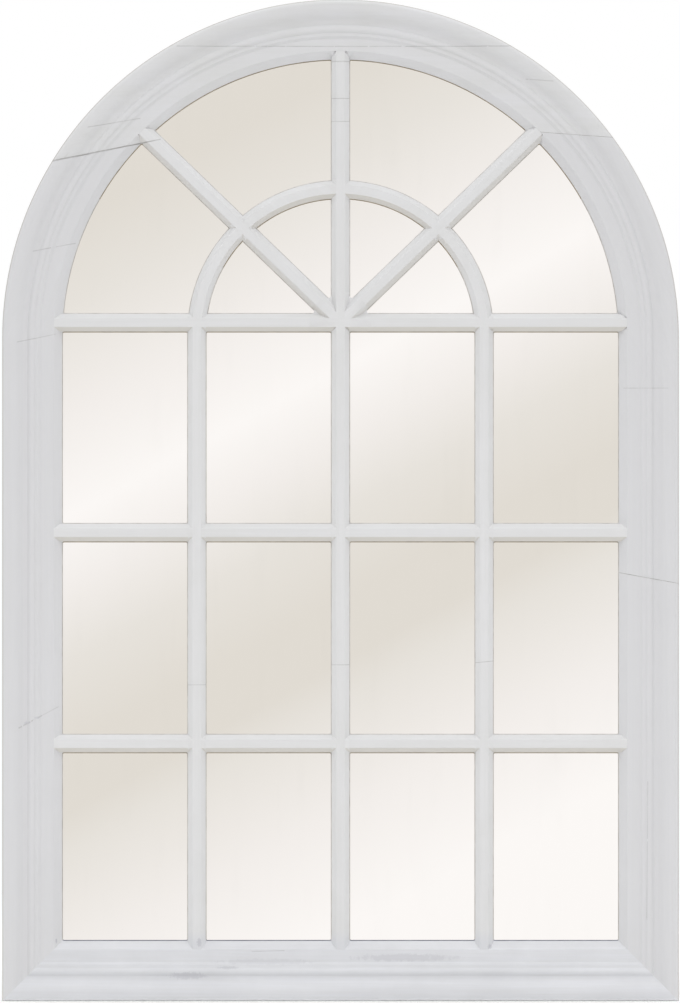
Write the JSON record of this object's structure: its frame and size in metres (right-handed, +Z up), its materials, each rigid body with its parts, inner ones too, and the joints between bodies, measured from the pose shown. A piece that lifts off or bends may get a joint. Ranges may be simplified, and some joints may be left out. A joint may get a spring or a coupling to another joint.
{
  "type": "arched window mirror",
  "caption": "Wall-hung arched window mirror: moulded off-white timber frame with a round head, glazing bars and a fanlight over the mirror, and swinging hanging rings at the back.",
  "frame": {"origin": "bottom centre of the mirror, half way through its depth from the moulding's crest to the wall", "axes": "+X to the mirror's right as seen from the front, +Z up, and the mirror faces -Y with the wall at +Y"},
  "size_m": [1, 0.04, 1.48],
  "materials": {
    "painted_timber": "satin off-white paint on timber, lightly worn",
    "mirror_glass": "silvered float glass",
    "back_board": "brown hardboard, matt",
    "zinc_steel": "zinc-plated steel",
    "bumper_rubber": "soft black rubber",
    "dowel_wood": "plain beech"
  },
  "bodies": {
    "mirror_frame": {"bottom_rail": "painted_timber", "left_stile_lower": "painted_timber", "left_stile_upper": "painted_timber", "left_haunch": "painted_timber", "crown": "painted_timber", "crown_cap": "painted_timber", "right_haunch": "painted_timber", "right_stile_upper": "painted_timber", "right_stile_lower": "painted_timber", "transom_bar": "painted_timber", "mid_bar_upper": "painted_timber", "mid_bar_lower": "painted_timber", "vertical_bar_left": "painted_timber", "vertical_bar_centre": "painted_timber", "vertical_bar_right": "painted_timber", "fan_spoke_left": "painted_timber", "fan_spoke_centre": "painted_timber", "fan_spoke_right": "painted_timber", "fan_ring_1": "painted_timber", "fan_ring_2": "painted_timber", "fan_ring_3": "painted_timber", "fan_ring_4": "painted_timber", "mirror_sheet": "mirror_glass", "back_board": "back_board", "back_board_screws": "zinc_steel", "hanger_strap_left": "zinc_steel", "hanger_strap_right": "zinc_steel", "hanger_screws": "zinc_steel", "wall_bumpers": "bumper_rubber", "frame_dowels": "dowel_wood"},
    "ring_left": {"hanger_ring_left": "zinc_steel"},
    "ring_right": {"hanger_ring_right": "zinc_steel"}
  },
  "joints": [
    {"name": "ring_left_swing", "type": "hinge", "parent": "mirror_frame", "child": "ring_left", "pos_m": [-0.45611, 0.0171, 1.08], "axis": [1, 0, 0], "range_deg": [0, 180]},
    {"name": "ring_right_swing", "type": "hinge", "parent": "mirror_frame", "child": "ring_right", "pos_m": [0.45611, 0.0171, 1.08], "axis": [1, 0, 0], "range_deg": [0, 180]}
  ]
}
